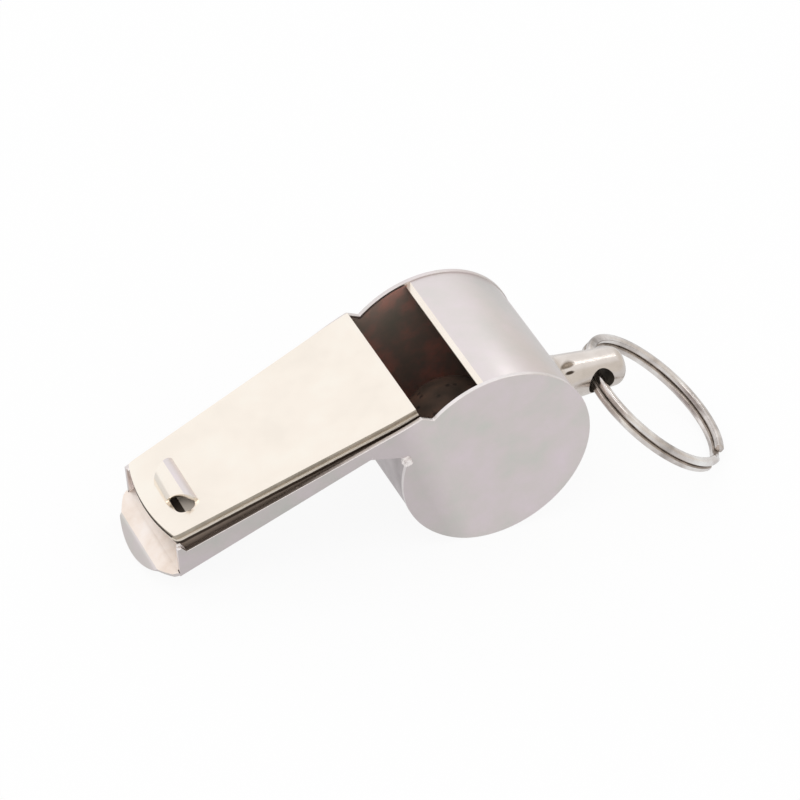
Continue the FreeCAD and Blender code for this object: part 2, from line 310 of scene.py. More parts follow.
def plated_metal(name, light, middle, dark, rough, blotch, scratch, depth, metallic=1.0):
    """Nickel over brass: a cloudy tone, polishing scratches and handling marks, sized in millimetres.

    Real polishing scratches are some hundredths of a millimetre wide. That is too fine to show in the
    render, so they are drawn as coarse as they need to show, 0.4 to 1.2 mm."""
    made, tree = material(name)
    place = add(tree, "ShaderNodeTexCoord").outputs["Object"]
    cloud = add(tree, "ShaderNodeTexNoise", {"Scale": PER_METRE / blotch, "Detail": 4.0, "Roughness": 0.6},
                {"Vector": place})
    tone = add(tree, "ShaderNodeValToRGB", links={"Fac": cloud.outputs["Fac"]})
    ramp(tone, [(0.3, dark), (0.5, middle), (0.7, light)])
    grain = add(tree, "ShaderNodeMapping", {"Scale": (1.0, 6.0, 1.0), "Rotation": (0.0, 0.44, 0.5)},
                {"Vector": place})
    lines = add(tree, "ShaderNodeTexNoise", {"Scale": PER_METRE / scratch, "Detail": 6.0, "Roughness": 0.7},
                {"Vector": grain.outputs["Vector"]})
    worn = add(tree, "ShaderNodeMapRange", {"From Min": 0.3, "From Max": 0.7, "To Min": rough[0],
                                            "To Max": rough[1]}, {"Value": lines.outputs["Fac"]})
    bump = add(tree, "ShaderNodeBump", {"Strength": 0.6, "Distance": depth * MM},
               {"Height": lines.outputs["Fac"]})
    shader = add(tree, "ShaderNodeBsdfPrincipled", {"Metallic": metallic},
                 {"Base Color": tone.outputs["Color"], "Roughness": worn.outputs["Result"],
                  "Normal": bump.outputs["Normal"]})
    add(tree, "ShaderNodeOutputMaterial", links={"Surface": shader.outputs["BSDF"]})
    return made


def whistle_axis(tree, place, x, z):
    """A distance in millimetres along one direction of the whistle's own frame, from the drum's axis."""
    turn = Vector((x * math.cos(PITCH) - z * math.sin(PITCH), 0.0,
                   x * math.sin(PITCH) + z * math.cos(PITCH)))
    along = add(tree, "ShaderNodeVectorMath", {1: turn}, {0: place}, operation="DOT_PRODUCT")
    return add(tree, "ShaderNodeMath", {1: PER_METRE, 2: -turn.dot(DRUM_AXIS)},
               {0: along.outputs["Value"]}, operation="MULTIPLY_ADD").outputs["Value"]


def paint_shade_towards_mouth(made, least):
    """Paints shade into a material: darkens it in front of the bend, down to a share of its tone."""
    tree = made.node_tree
    shader = tree.nodes["Principled BSDF"]
    place = add(tree, "ShaderNodeTexCoord").outputs["Object"]
    share = add(tree, "ShaderNodeMapRange", {"From Min": BEND_END_X, "From Max": BEND_X, "To Min": least},
                {"Value": whistle_axis(tree, place, 1.0, 0.0)})
    duller = add(tree, "ShaderNodeMix", {"Factor": 1.0},
                 {"A": shader.inputs["Base Color"].links[0].from_socket, "B": share.outputs["Result"]},
                 data_type="RGBA", blend_type="MULTIPLY")
    tree.links.new(duller.outputs["Result"], shader.inputs["Base Color"])


def mark_foot(made):
    """Two short dark strokes side by side on the near half of the post, by its foot.

    Each has its middle's x and z as the whistle rests, its length and height, and its colour."""
    strokes = [(15.1, 13.7, 1.8, 0.26, "#83776B"), (15.1, 13.26, 1.1, 0.24, "#4E443C")]
    tree = made.node_tree
    shader = tree.nodes["Principled BSDF"]
    place = add(tree, "ShaderNodeTexCoord").outputs["Object"]
    position = add(tree, "ShaderNodeSeparateXYZ", links={"Vector": place})
    near = add(tree, "ShaderNodeMath", {1: DRUM_AXIS.y * MM}, {0: position.outputs["Y"]},
               operation="LESS_THAN")
    for x, z, length, height, stroke_tone in strokes:
        away = add(tree, "ShaderNodeVectorMath", {1: (x * MM, 0.0, z * MM)}, {0: place},
                   operation="SUBTRACT")
        flat = add(tree, "ShaderNodeVectorMath", {1: (2 * PER_METRE / length, 0.0, 2 * PER_METRE / height)},
                   {0: away.outputs["Vector"]}, operation="MULTIPLY")
        reach = add(tree, "ShaderNodeVectorMath", links={0: flat.outputs["Vector"]}, operation="LENGTH")
        stroke = add(tree, "ShaderNodeMapRange",
                     {"From Min": 0.75, "From Max": 1.25, "To Min": 1.0, "To Max": 0.0},
                     {"Value": reach.outputs["Value"]})
        shown = add(tree, "ShaderNodeMath", links={0: stroke.outputs["Result"], 1: near.outputs["Value"]},
                    operation="MULTIPLY")
        stroked = add(tree, "ShaderNodeMix", {"B": srgb(stroke_tone)},
                      {"Factor": shown.outputs["Value"],
                       "A": shader.inputs["Base Color"].links[0].from_socket}, data_type="RGBA")
        tree.links.new(stroked.outputs["Result"], shader.inputs["Base Color"])


# Nickel plate, buffed bright: mirror-like with a warm cream tone and hardly a mark
bright_nickel = plated_metal("nickel_plate_buffed_bright", "#FCF6EC", "#FAF1E6", "#F5ECE1",
                             rough=(0.16, 0.24), blotch=9.0, scratch=0.9, depth=0.004)
# Nickel plate, satin from tumbling: cooler grey with faint lilac and green clouds
satin_nickel = plated_metal("nickel_plate_satin", "#E1D7DA", "#DED7D5", "#D9D8D2",
                            rough=(0.30, 0.42), blotch=6.0, scratch=0.6, depth=0.006)
# The same on the side plates, darker along the mouthpiece as painted shade
side_nickel = plated_metal("nickel_plate_satin_shaded_front", "#E9DDE2", "#E3DBDA", "#DADAD4",
                           rough=(0.30, 0.42), blotch=6.0, scratch=0.6, depth=0.006)
paint_shade_towards_mouth(side_nickel, 0.87)
# The rolled strip, satin too but paler, as its grain runs round the drum
rolled_nickel = plated_metal("nickel_plate_satin_rolled", "#E7DDE0", "#E2DBDA", "#DBD8D5",
                             rough=(0.28, 0.40), blotch=6.0, scratch=0.6, depth=0.005)
# The floor of the mouth: soft bright nickel that takes light from all sides, its near-white tone painted light
# that lifts it where the plate shades it
mouth_nickel_painted_light = plated_metal("nickel_plate_soft_painted_light", "#FFF6F0", "#FBEFE6", "#F3E4D8",
                            rough=(0.42, 0.55), blotch=3.0, scratch=0.5, depth=0.005)
# Sheared edges that polishing has rounded, a little duller than the faces; their pale, near-white tone is a
# painted highlight along the edges
rim_nickel_painted_highlight = plated_metal("nickel_plate_rounded_edge_painted_highlight", "#F4EEEE", "#EEE8E8", "#E4DFDD",
                          rough=(0.25, 0.38), blotch=2.0, scratch=0.4, depth=0.006)
# Cut edge of the plated sheet: duller and olive where the brass shows through thin plating. Its darker tone is
# also painted shade: under the plate, in the bridge's slot, and for the dark gap that the plate's side edges
# mirror
cut_edge_and_shade = plated_metal("nickel_plate_cut_edge", "#C9C0B2", "#BCB3A5", "#ADA597",
                        rough=(0.35, 0.5), blotch=2.0, scratch=0.4, depth=0.008)
# Unpolished inside of the pressing: brown with redder and greener patches, darker than the plating as painted
# shade that keeps the drum dim inside
painted_shade_inside = plated_metal("brass_inside_painted_shade", "#F0A898", "#B09A8E", "#8A8F82",
                           rough=(0.3, 0.45), blotch=7.0, scratch=0.8, depth=0.01, metallic=0.25)
# The turned post: fine lathe lines under the plating leave it a little greyer than the plate, and two short dark
# strokes are drawn by its foot
post_nickel = plated_metal("nickel_plate_turned", "#E8E1DC", "#DFD7D1", "#D2CAC4",
                           rough=(0.16, 0.28), blotch=4.0, scratch=0.5, depth=0.005)
mark_foot(post_nickel)
# Bright plated spring wire, drawn: smooth, with fine lines along it; its near-white and dark clouds are painted
# highlights and painted shade
ring_nickel_painted_glints = plated_metal("nickel_plated_spring_wire_painted_glints", "#FFFEFC", "#E0D9D5", "#9E9691",
                           rough=(0.14, 0.2), blotch=4.5, scratch=1.2, depth=0.001)
# The wire's faces towards the other turn: a brown tone that is painted shade for the groove between the two turns
ring_groove_shade = plated_metal("spring_wire_groove_painted_shade", "#C0B4AA", "#A3978D", "#84796F",
                           rough=(0.3, 0.45), blotch=1.5, scratch=0.4, depth=0.008, metallic=0.7)
# The drilled hole of the post: a dark brass tone, nearly black down in it, that is painted shade inside the hole
hole_painted_shade = plated_metal("brass_drilled_painted_shade", "#7A7268", "#645D54", "#4E4841",
                            rough=(0.4, 0.55), blotch=1.5, scratch=0.4, depth=0.01, metallic=0.6)
# The outside of the strip under the neck: a duller, darker grey that is painted shade under the mouthpiece
neck_painted_shade = plated_metal("nickel_plate_painted_shade_under_neck", "#DAD4D5", "#CFC9CA", "#C0BABB",
                           rough=(0.42, 0.55), blotch=4.0, scratch=0.6, depth=0.006)


def browned_edge():
    """Edge beside the solder: browned by flux, less and less towards the window."""
    made, tree = material("nickel_edge_flux_browned")
    place = add(tree, "ShaderNodeTexCoord").outputs["Object"]
    stroke_tone = add(tree, "ShaderNodeTexNoise", {"Scale": PER_METRE / 1.2, "Detail": 4.0}, {"Vector": place})
    along = add(tree, "ShaderNodeMath", {1: 8.0},
                {0: stroke_tone.outputs["Fac"], 2: whistle_axis(tree, place, 1.0, 0.0)},
                operation="MULTIPLY_ADD")
    share = add(tree, "ShaderNodeMapRange", {"From Min": -17.0, "From Max": -7.0},
                {"Value": along.outputs["Value"]})
    tone = add(tree, "ShaderNodeMix", {"A": srgb("#7A6F68"), "B": srgb("#E6DEDC")},
               {"Factor": share.outputs["Result"]}, data_type="RGBA")
    shader = add(tree, "ShaderNodeBsdfPrincipled", {"Metallic": 1.0, "Roughness": 0.45},
                 {"Base Color": tone.outputs["Result"]})
    add(tree, "ShaderNodeOutputMaterial", links={"Surface": shader.outputs["BSDF"]})
    return made


def roof_metal():
    """The roof's sheet: a pale line of nickel under the plate, below it a black band of painted shade for the gap
    beside the plate, then a brown-grey tone lower down.
    """
    made, tree = material("nickel_sheet_painted_gap_shade")
    place = add(tree, "ShaderNodeTexCoord").outputs["Object"]
    height = whistle_axis(tree, place, 0.0, 1.0)
    waver = add(tree, "ShaderNodeTexNoise", {"Scale": PER_METRE / 0.9, "Detail": 4.0}, {"Vector": place})
    wavy = add(tree, "ShaderNodeMath", {1: 0.12}, {0: waver.outputs["Fac"], 2: height},
               operation="MULTIPLY_ADD")
    share = add(tree, "ShaderNodeMapRange", {"From Min": 10.4, "From Max": 11.4},
                {"Value": wavy.outputs["Value"]})
    tone = add(tree, "ShaderNodeValToRGB", links={"Fac": share.outputs["Result"]})
    ramp(tone, [(0.36, "#8C7E72"), (0.44, "#382C22"), (0.79, "#382C22"), (0.83, "#E6DCCF")])
    # pale in the middle, where the slot shows it, with painted shade under the front foot of the bite bridge
    front = add(tree, "ShaderNodeMath", {1: -31.5}, {0: whistle_axis(tree, place, 1.0, 0.0)},
                operation="LESS_THAN")
    across = add(tree, "ShaderNodeSeparateXYZ", links={"Vector": place})
    middle = add(tree, "ShaderNodeMath", {1: DRUM_AXIS.y * MM, 2: 5.6 * MM}, {0: across.outputs["Y"]},
                 operation="COMPARE")
    tone = add(tree, "ShaderNodeMix", {"B": srgb("#DDD3C8")},
               {"Factor": middle.outputs["Value"], "A": tone.outputs["Color"]}, data_type="RGBA")
    upper = add(tree, "ShaderNodeMath", {1: 11.36}, {0: height}, operation="GREATER_THAN")
    top_front = add(tree, "ShaderNodeMath", links={0: front.outputs["Value"], 1: upper.outputs["Value"]},
                    operation="MULTIPLY")
    bridge_shade = add(tree, "ShaderNodeMath",
                 links={0: top_front.outputs["Value"], 1: middle.outputs["Value"]}, operation="MULTIPLY")
    tone = add(tree, "ShaderNodeMix", {"B": srgb("#3E342B")},
               {"Factor": bridge_shade.outputs["Value"], "A": tone.outputs["Result"]}, data_type="RGBA")
    bump = add(tree, "ShaderNodeBump", {"Strength": 0.5, "Distance": 0.02 * MM},
               {"Height": waver.outputs["Fac"]})
    shader = add(tree, "ShaderNodeBsdfPrincipled", {"Metallic": 0.2, "Roughness": 0.45},
                 {"Base Color": tone.outputs["Result"], "Normal": bump.outputs["Normal"]})
    add(tree, "ShaderNodeOutputMaterial", links={"Surface": shader.outputs["BSDF"]})
    return made


def soft_solder():
    """Tin solder as it froze: lumpy, dark down in the gap as painted shade, and bright outside it."""
    made, tree = material("soft_solder_as_cast")
    place = add(tree, "ShaderNodeTexCoord").outputs["Object"]
    lumps = add(tree, "ShaderNodeTexNoise", {"Scale": PER_METRE / 0.7, "Detail": 5.0, "Roughness": 0.65},
                {"Vector": place})
    black = add(tree, "ShaderNodeValToRGB", links={"Fac": lumps.outputs["Fac"]})
    ramp(black, [(0.35, "#4A3F37"), (0.5, "#6E625A"), (0.7, "#8C817A")])
    outside_tone = add(tree, "ShaderNodeValToRGB", links={"Fac": lumps.outputs["Fac"]})
    ramp(outside_tone, [(0.35, "#D6CCCA"), (0.5, "#FAF4F2"), (0.7, "#FFFCFA")])
    # in front of the roof's corners and below the shelf it is outside the gap and keeps its bright tone
    corner = add(tree, "ShaderNodeMath", {1: -33.55}, {0: whistle_axis(tree, place, 1.0, 0.0)},
                 operation="LESS_THAN")
    below = add(tree, "ShaderNodeMath", {1: 9.3}, {0: whistle_axis(tree, place, 0.0, 1.0)},
                operation="LESS_THAN")
    outside = add(tree, "ShaderNodeMath", links={0: corner.outputs["Value"], 1: below.outputs["Value"]},
                  operation="MAXIMUM")
    tone = add(tree, "ShaderNodeMix", links={"Factor": outside.outputs["Value"], "A": black.outputs["Color"],
                                             "B": outside_tone.outputs["Color"]}, data_type="RGBA")
    bump = add(tree, "ShaderNodeBump", {"Strength": 1.0, "Distance": 0.08 * MM},
               {"Height": lumps.outputs["Fac"]})
    bare = add(tree, "ShaderNodeMath", {1: 0.5}, {0: outside.outputs["Value"]}, operation="MULTIPLY")
    shader = add(tree, "ShaderNodeBsdfPrincipled", {"Roughness": 0.45},
                 {"Base Color": tone.outputs["Result"], "Normal": bump.outputs["Normal"],
                  "Metallic": bare.outputs["Value"]})
    add(tree, "ShaderNodeOutputMaterial", links={"Surface": shader.outputs["BSDF"]})
    return made


def cork():
    """Ground cork: dull brown with darker pores about half a millimetre across, its tone darkened as painted
    shade inside the drum.
    """
    made, tree = material("cork_ground_ball_painted_shade")
    place = add(tree, "ShaderNodeTexCoord").outputs["Object"]
    cloud = add(tree, "ShaderNodeTexNoise", {"Scale": PER_METRE / 3.0, "Detail": 5.0}, {"Vector": place})
    pores = add(tree, "ShaderNodeTexVoronoi", {"Scale": PER_METRE / 1.1, "Randomness": 1.0},
                {"Vector": place})
    tone = add(tree, "ShaderNodeValToRGB", links={"Fac": cloud.outputs["Fac"]})
    ramp(tone, [(0.35, "#4A3E34"), (0.5, "#5E4C40"), (0.7, "#7A5C4C")])
    hole = add(tree, "ShaderNodeMapRange", {"From Min": 0.1, "From Max": 0.3, "To Min": 0.35, "To Max": 1.0},
               {"Value": pores.outputs["Distance"]})
    mixed = add(tree, "ShaderNodeMix", {"Factor": 1.0},
                {"A": tone.outputs["Color"], "B": hole.outputs["Result"]},
                data_type="RGBA", blend_type="MULTIPLY")
    bump = add(tree, "ShaderNodeBump", {"Strength": 0.8, "Distance": 0.15 * MM},
               {"Height": hole.outputs["Result"]})
    shader = add(tree, "ShaderNodeBsdfPrincipled", {"Roughness": 0.85},
                 {"Base Color": mixed.outputs["Result"], "Normal": bump.outputs["Normal"]})
    add(tree, "ShaderNodeOutputMaterial", links={"Surface": shader.outputs["BSDF"]})
    return made


solder_metal = soft_solder()
flux_edge = browned_edge()
cork_painted_shade = cork()


# Pieces of the body

def under_outer_face(co, side):
    """Whether a point of a side plate is deep enough in its sheet to be on the inner face."""
    return co.y * side < HALF_WIDTH - 0.4 - inset_at(co.x)


def inner_area(co):
    """Whether a point of a side plate lies inside the margin that the strips' edges meet."""
    if co.x < BEND_END_X:
        return False
    beside_window = co.z > 7.0 and co.x < -3.5
    return co.x < BEND_X or math.hypot(co.x, co.z) < STRIP_OUTER - 0.2 or beside_window


def side_plate(name, side):
    """A flat snail-shaped plate, pressed from sheet and bent inward along the mouthpiece."""
    fresh()
    bpy.ops.mesh.primitive_circle_add(vertices=180, radius=DRUM_RADIUS, rotation=(math.pi / 2, 0, 0))
    piece = named(name)
    notch_x, mouth_x, cheek_height, proud = -4.4, -35.5, 10.95, 0.1
    notch = Vector((notch_x, 0.0, math.sqrt(DRUM_RADIUS ** 2 - notch_x ** 2)))
    neck = polar(DRUM_RADIUS, NECK_ANGLE)
    first, last = bearing(notch), NECK_ANGLE
    pick(piece, "VERT", lambda co, n: first - 0.9 < bearing(co) < last + 0.9)
    bpy.ops.mesh.delete(type="VERT")
    # the open ends are carried on along the notch, the rim, the mouth, the underside and the kink
    route = [notch, Vector((WINDOW_X, 0, 11.25)), Vector((-33.6, 0, 10.18)),
             Vector((-33.9, 0, cheek_height)), Vector((-34.4, 0, cheek_height)),
             Vector((mouth_x, 0, floor_under(mouth_x) - proud)), Vector((KINK_X, 0, FLOOR_UNDER - proud)),
             neck]
    pick(piece, "VERT", lambda co, n: first - 3.0 < bearing(co) < first)
    here = chosen_place(piece)
    for stop in route:
        pull(*(stop - here))
        here = stop
    pick(piece, "VERT",
         lambda co, n: last - 0.1 < bearing(co) < last + 3.0 and co.length < DRUM_RADIUS + 0.05)
    bpy.ops.mesh.edge_face_add()
    pick_all()
    bpy.ops.mesh.edge_face_add()
    for step in range(6):
        slice_at((BEND_X + (BEND_END_X - BEND_X) * step / 5, 0, 0), (1, 0, 0))
    pick_all()
    slide(y=side * HALF_WIDTH)
    pick_all()
    pull(y=-side * SIDE_SHEET)
    columns(piece, lambda x: (0, -side * inset_at(x), 0))
    # a margin round the inner face, where the strips' edges meet it
    pick(piece, "FACE", lambda co, n: n.y * side < -0.8)
    bpy.ops.mesh.normals_make_consistent(inside=False)
    pick(piece, "FACE", lambda co, n: n.y * side < -0.8 or (n.y * side > 0.8 and under_outer_face(co, side)))
    bpy.ops.mesh.inset(thickness=0.3, use_boundary=True)
    outward(piece)
    soften(piece, 0.1)
    return piece


def barrel_strip():
    """The strip rolled round the drum, with its bevelled rear lip and its straight end up to the kink."""
    fresh()
    bpy.ops.mesh.primitive_circle_add(vertices=180, radius=STRIP_OUTER, rotation=(math.pi / 2, 0, 0))
    piece = named("barrel_strip_rolled")
    pick(piece, "VERT", lambda co, n: REAR_LIP_ANGLE + 0.2 < bearing(co) < NECK_ANGLE - 0.2)
    bpy.ops.mesh.delete(type="VERT")
    pick(piece, "VERT", lambda co, n: abs(bearing(co) - NECK_ANGLE) < 0.8)
    pull(*(Vector((KINK_X + 0.05, 0, FLOOR_UNDER - 0.02)) - chosen_place(piece)))
    # its edges sit 0.1 mm deep in the side plates, so that no light shows between them
    half = HALF_WIDTH - SIDE_SHEET + 0.1
    pick_all()
    slide(y=-half)
    pick_all()
    pull(y=2 * half)
    turn_normals(piece, upward=False, test=lambda co: co.z < -10)
    apply_modifier(piece, "SOLIDIFY", thickness=BARREL_SHEET, offset=-1.0, use_even_offset=True)
    # the rear lip of the window is ground to a slope that leaves a narrow land inside
    alone(piece)
    bpy.ops.object.mode_set(mode="EDIT")
    land, back = polar(STRIP_OUTER - 0.3, REAR_LIP_ANGLE), polar(STRIP_OUTER, REAR_LIP_ANGLE - 3.2)
    pick(piece, "FACE", lambda co, n: 72.0 < bearing(co) < 84.0 and co.z > 9.0)
    bpy.ops.mesh.bisect(plane_co=land, plane_no=(land.z - back.z, 0, back.x - land.x), use_fill=True,
                        clear_outer=True, threshold=0.0005)
    outward(piece)
    soften(piece, 0.04, 2, 25.0)
    return piece


def on_rear_lip(co, n):
    """Whether a face of the barrel's strip is on the ground slope behind the window."""
    return 76.5 < bearing(co) < 84.0 and co.z > 9 and n.x < -0.1


def mouthpiece_floor():
    """The floor strip: a bowed lip with its front part turned down, the rising floor and the level shelf."""
    fresh()
    bow, bow_end_x, ear_end_x = 11.5, -36.0, -35.36
    bpy.ops.mesh.primitive_circle_add(vertices=256, radius=bow, fill_type="NGON",
                                      location=(LIP_X + bow, 0, 0))
    piece = named("mouthpiece_floor_pressed")
    slice_at((bow_end_x, 0, 0), (1, 0, 0), clear=True)
    # ears of the lip outside the side plates, then back between them to the window
    inner = HALF_WIDTH - SIDE_SHEET
    step_x = ear_end_x + 0.02
    carry_back(piece, bow_end_x, [
        (ear_end_x, HALF_WIDTH - inset_at(ear_end_x)), (step_x, inner - inset_at(step_x)),
        (KINK_X, inner - inset_at(KINK_X)), (BEND_END_X, inner - inset_at(BEND_END_X)),
        (BEND_X, inner), (WINDOW_X, inner)])
    slice_at((CREASE_X, 0, 0), (1, 0, 0))
    columns(piece, lambda x: (0, 0, floor_under(x) - max(0.0, CREASE_X - x)
                              * (math.tan(FLOOR_SLOPE + LIP_TURN) - math.tan(FLOOR_SLOPE))))
    for bend_x, width in ((CREASE_X, 0.28), (KINK_X, 0.5)):
        pick(piece, "EDGE", lambda co, d: at(co.x, bend_x) and abs(d.y) > 1)
        bpy.ops.mesh.bevel(offset=width, segments=4, affect="EDGES")
    turn_normals(piece, upward=False)
    apply_modifier(piece, "SOLIDIFY", thickness=FLOOR_SHEET, offset=-1.0, use_even_offset=True)
    outward(piece)
    soften(piece, 0.1, 3, 40.0)
    return piece


def top_plate():
    """The flat plate with a bowed front edge, and the bite bridge lanced and raised out of it."""
    fresh()
    bow, front_x, bow_end_x = 21.0, -34.85, -33.89
    bpy.ops.mesh.primitive_circle_add(vertices=512, radius=bow, fill_type="NGON",
                                      location=(front_x + bow, 0, TOP_HEIGHT))
    piece = named("top_plate_pressed")
    slice_at((bow_end_x, 0, 0), (1, 0, 0), clear=True)
    carry_back(piece, bow_end_x, [
        (BEND_END_X, HALF_WIDTH - TOP_MARGIN / math.cos(TAPER) - inset_at(BEND_END_X)),
        (BEND_X, HALF_WIDTH - TOP_MARGIN), (WINDOW_X, HALF_WIDTH - TOP_MARGIN)])
    pick(piece, "VERT", lambda co, n: at(co.x, bow_end_x))
    bpy.ops.mesh.bevel(offset=0.9, segments=6, affect="VERTICES")
    # the slot under the bridge, its corners slid along y and rounded
    slot_front, slot_rear, slot_half = -32.35, -30.15, 4.3
    for x in (slot_front, slot_rear):
        slice_at((x, 0, 0), (1, 0, 0))
    for y in (-slot_half, slot_half):
        slice_at((0, y, 0), (0, 1, 0))
    pick(piece, "FACE", lambda co, n: slot_front < co.x < slot_rear and abs(co.y) < slot_half)
    bpy.ops.mesh.delete(type="FACE")
    corners = [(slot_front, -slot_half, 0.4), (slot_front, slot_half, -2.2), (slot_rear, slot_half, -0.5),
               (slot_rear, -slot_half, 0.0)]
    for x, y, shift in corners:
        pick(piece, "VERT", lambda co, n: at(co.x, x) and at(co.y, y))
        slide(y=shift)
    pick(piece, "VERT", lambda co, n: any(at(co.x, x) and at(co.y, y + shift) for x, y, shift in corners))
    bpy.ops.mesh.bevel(offset=0.9, segments=6, affect="VERTICES")
    pick_all()
    pull(z=-TOP_SHEET)
    outward(piece)
    arch = bite_bridge()
    alone(piece)
    arch.select_set(True)
    bpy.ops.object.join()
    soften(piece, 0.12, 3, 40.0)
    return piece


def bite_bridge():
    """A half tunnel with a soft crown, narrower at its front foot than at its rear one."""
    fresh()
    middle, half_span, foot_height = -31.25, 1.55, 11.45
    half_width, narrowing = 3.5, 1.9
    bpy.ops.mesh.primitive_circle_add(vertices=72, radius=1.582, rotation=(math.pi / 2, 0, 0),
                                      location=(middle, 0, 11.718))
    arch = named("bite_bridge")
    pick(arch, "VERT", lambda co, n: co.z < foot_height)
    bpy.ops.mesh.delete(type="VERT")
    pick_all()
    slide(y=-half_width)
    pick_all()
    pull(y=2 * half_width)
    for end in (-1, 1):
        for x in column_places(arch):
            share = (middle + half_span - x) / (2 * half_span)
            pick(arch, "VERT", lambda co, n: in_column(co, x) and co.y * end > 0)
            slide(y=-end * narrowing * min(1.0, max(0.0, share)))
    turn_normals(arch, upward=True)
    apply_modifier(arch, "SOLIDIFY", thickness=0.45, offset=-1.0, use_even_offset=True)
    outward(arch)
    return arch


def ring_post():
    """A turned post with a flared foot and a rounded end, cross-drilled for the ring."""
    fresh()
    root_x, foot_radius = 9.45, 3.1
    tip_x, tip_radius, rounding = 19.7, 2.2, 1.3
    bpy.ops.mesh.primitive_circle_add(vertices=96, radius=foot_radius, fill_type="NGON",
                                      rotation=(0, math.pi / 2, 0), location=(root_x, 0, 0))
    piece = named("ring_post_turned")
    # each step has an x and a radius: the flare of the foot, the slim taper and the rounded end
    steps = [(11.0, foot_radius), (11.12, 2.98), (11.3, 2.84), (11.6, 2.72), (12.1, 2.65),
             (tip_x - rounding, tip_radius)]
    steps += [(tip_x - rounding + rounding * math.sin(math.radians(a)),
               tip_radius - rounding + rounding * math.cos(math.radians(a)))
              for a in (12, 24, 36, 48, 60, 72, 82, 90)]
    pick_all()
    x, radius = root_x, foot_radius
    for new_x, new_radius in steps:
        pull(x=new_x - x)
        share = new_radius / radius
        bpy.ops.transform.resize(value=(1, share, share), center_override=(new_x, 0, 0))
        x, radius = new_x, new_radius
    outward(piece)
    # the hole is a touch wider than the wire needs at rest, so that the ring can swing right up
    fresh()
    bpy.ops.mesh.primitive_cylinder_add(vertices=96, radius=POST_HOLE_RADIUS, depth=9.0,
                                        rotation=(math.pi / 2, 0, 0), location=(POST_HOLE_X, 0, 0))
    drill = named("cross_hole_drill")
    alone(piece)
    apply_modifier(piece, "BOOLEAN", object=drill, operation="DIFFERENCE", solver="EXACT")
    alone(drill)
    bpy.ops.object.delete()
    alone(piece)
    piece.matrix_world = Matrix.Rotation(math.radians(POST_TILT), 4, "Y")
    bpy.ops.object.transform_apply(location=True, rotation=True, scale=True)
    soften(piece, 0.1, 3, 30.0)
    return piece


def split_ring():
    """One flat spring wire coiled into two turns, crossing from the upper turn down to the lower one."""
    fresh()
    turn_steps, crossing_steps, step_angle = 167, 13, math.radians(2)
    bpy.ops.mesh.primitive_plane_add(size=1.0, location=(WIRE_RADIUS, 0, TURN_LEVEL),
                                     rotation=(math.pi / 2, 0, 0))
    piece = named("split_ring_coiled")
    pick_all()
    bpy.ops.transform.resize(value=(WIRE_WIDTH, 1, WIRE_HEIGHT), center_override=(WIRE_RADIUS, 0, TURN_LEVEL))
    bpy.ops.mesh.bevel(offset=0.27, segments=5, affect="VERTICES")
    pick_all()
    bpy.ops.mesh.spin(steps=turn_steps, angle=math.radians(334), center=(0, 0, 0), axis=(0, 0, -1))
    before = TURN_LEVEL
    for step in range(1, crossing_steps + 1):
        bpy.ops.mesh.spin(steps=1, angle=step_angle, center=(0, 0, 0), axis=(0, 0, -1))
        after = TURN_LEVEL * math.cos(math.pi * step / crossing_steps)
        slide(z=after - before)
        before = after
    bpy.ops.mesh.spin(steps=turn_steps, angle=math.radians(334), center=(0, 0, 0), axis=(0, 0, -1))
    outward(piece)
    soften(piece, 0.09, 3, 60.0)
    return piece


def solder_drop():
    """A crumb of solder left on the outside of the neck's corner."""
    fresh()
    place = polar(DRUM_RADIUS, NECK_ANGLE) + Vector((-0.4, 0.3 - HALF_WIDTH, -0.4))
    bpy.ops.mesh.primitive_ico_sphere_add(subdivisions=3, radius=0.62, location=place)
    piece = named("solder_drop_on_neck")
    pick_all()
    bpy.ops.transform.resize(value=(1.0, 0.8, 1.3), center_override=place)
    bpy.ops.transform.vertex_random(offset=0.09, uniform=0.6, normal=0.4, seed=4)
    outward(piece)
    apply_modifier(piece, "SUBSURF", levels=2, render_levels=2)
    alone(piece)
    bpy.ops.object.shade_smooth()
    return piece


for key, side in (("side_plate_near", -1), ("side_plate_far", 1)):
    plate = side_plate(key + "_pressed", side)
    # the inner faces take the inside's painted shade
    # the near plate's edges take the pale painted highlight, the far plate's edges the rolled finish
    dress(plate, side_nickel, [
        (painted_shade_inside, lambda co, n: n.y * side < -0.8 and under_outer_face(co, side) and inner_area(co)),
        (rim_nickel_painted_highlight if side < 0 else rolled_nickel, lambda co, n: abs(n.y) < 0.8
         or (side > 0 and n.y < -0.8 and math.hypot(co.x, co.z) > STRIP_OUTER - 0.3)),
        (flux_edge, lambda co, n: n.z > 0.98 and -33.7 < co.x < -5.6)])
    set_down(plate)
    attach(plate, "whistle")
    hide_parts(key)

barrel = barrel_strip()
# the strip's inside takes painted shade, and its outside under the neck a darker painted shade
dress(barrel, rolled_nickel, [
    (painted_shade_inside, lambda co, n: math.hypot(co.x, co.z) < STRIP_OUTER - 0.3 and n.x * co.x + n.z * co.z < 0),
    (neck_painted_shade, lambda co, n: 130.0 < bearing(co) < 200.0 and n.x * co.x + n.z * co.z > 0),
    (cut_edge_and_shade, on_rear_lip),
    (bright_nickel, lambda co, n: on_rear_lip(co, n) and n.z > 0.5)])
set_down(barrel)
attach(barrel, "whistle")
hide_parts("barrel_strip")

floor_piece = mouthpiece_floor()
# the mouth floor's near-white tone is painted light
dress(floor_piece, mouth_nickel_painted_light, [
    (satin_nickel, lambda co, n: n.z < 0.3 or (co.x < CREASE_X and n.z > 0.3))])
set_down(floor_piece)
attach(floor_piece, "whistle")
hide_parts("mouthpiece_floor")

